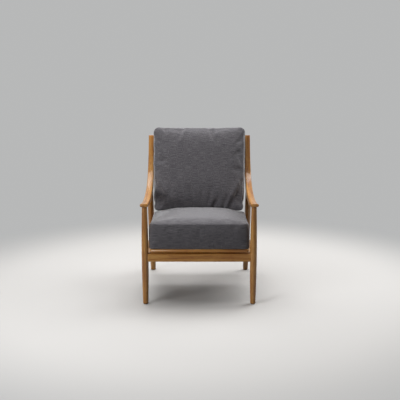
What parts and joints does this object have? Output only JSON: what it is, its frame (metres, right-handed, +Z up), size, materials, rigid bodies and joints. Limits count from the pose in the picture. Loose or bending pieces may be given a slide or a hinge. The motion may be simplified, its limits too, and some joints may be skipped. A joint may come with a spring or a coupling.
{
  "type": "armchair",
  "caption": "Open wooden armchair with sculpted arms that sweep up into the back posts, a spindle back and loose boxed seat and back cushions.",
  "frame": {"origin": "middle of the footprint, on the floor under the glides", "axes": "+Z up, -Y is the front that one sits down at, +X towards the sitter's left hand"},
  "size_m": [0.653, 0.7508, 0.9549],
  "materials": {
    "oak": "satin lacquered honey oak",
    "beech": "plain sanded beech",
    "steel": "zinc plated",
    "webbing": "woven elastic",
    "nylon": "moulded",
    "cloth": "heathered flat weave",
    "zip_tape": "woven tape",
    "zip_metal": "dull nickel",
    "foam": "open-cell foam"
  },
  "bodies": {
    "frame": {"front_leg_left": "oak", "front_leg_right": "oak", "rear_leg_left": "oak", "rear_leg_right": "oak", "arm_left": "oak", "arm_right": "oak", "front_rail": "oak", "rear_rail": "oak", "side_rail_left": "oak", "side_rail_right": "oak", "crest_rail": "oak", "lower_back_rail": "oak", "spindle_1": "oak", "spindle_2": "oak", "spindle_3": "oak", "spindle_4": "oak", "spindle_5": "oak", "spindle_6": "oak", "spindle_7": "oak", "spindle_8": "oak", "spindle_9": "oak", "seat_batten_left": "beech", "seat_batten_right": "beech", "batten_screws": "steel", "seat_frame_front": "oak", "seat_frame_rear": "beech", "seat_frame_left": "beech", "seat_frame_right": "beech", "seat_frame_dowels": "beech", "seat_frame_screws": "steel", "webbing_lengthwise": "webbing", "webbing_crosswise": "webbing", "glide_front_left": "nylon", "glide_front_right": "nylon", "glide_rear_left": "nylon", "glide_rear_right": "nylon"},
    "seat_cushion": {"seat_cushion_cover": "cloth", "seat_cushion_foam": "foam", "seat_zip_tape": "zip_tape"},
    "back_cushion": {"back_cushion_cover": "cloth", "back_cushion_filling": "foam", "back_zip_tape": "zip_tape"},
    "seat_zip": {"seat_zip_slider": "zip_metal"},
    "back_zip": {"back_zip_slider": "zip_metal"}
  },
  "joints": [
    {"name": "seat_cushion_slide", "type": "slide", "parent": "frame", "child": "seat_cushion", "axis": [0, -0.9981, 0.061], "range_m": [0, 0.5]},
    {"name": "back_cushion_lift", "type": "slide", "parent": "frame", "child": "back_cushion", "axis": [0, 0.3199, 0.9474], "range_m": [0, 0.55]},
    {"name": "seat_zip_run", "type": "slide", "parent": "seat_cushion", "child": "seat_zip", "axis": [1, 0, 0], "range_m": [0, 0.36]},
    {"name": "back_zip_run", "type": "slide", "parent": "back_cushion", "child": "back_zip", "axis": [1, 0, 0], "range_m": [0, 0.36]}
  ]
}
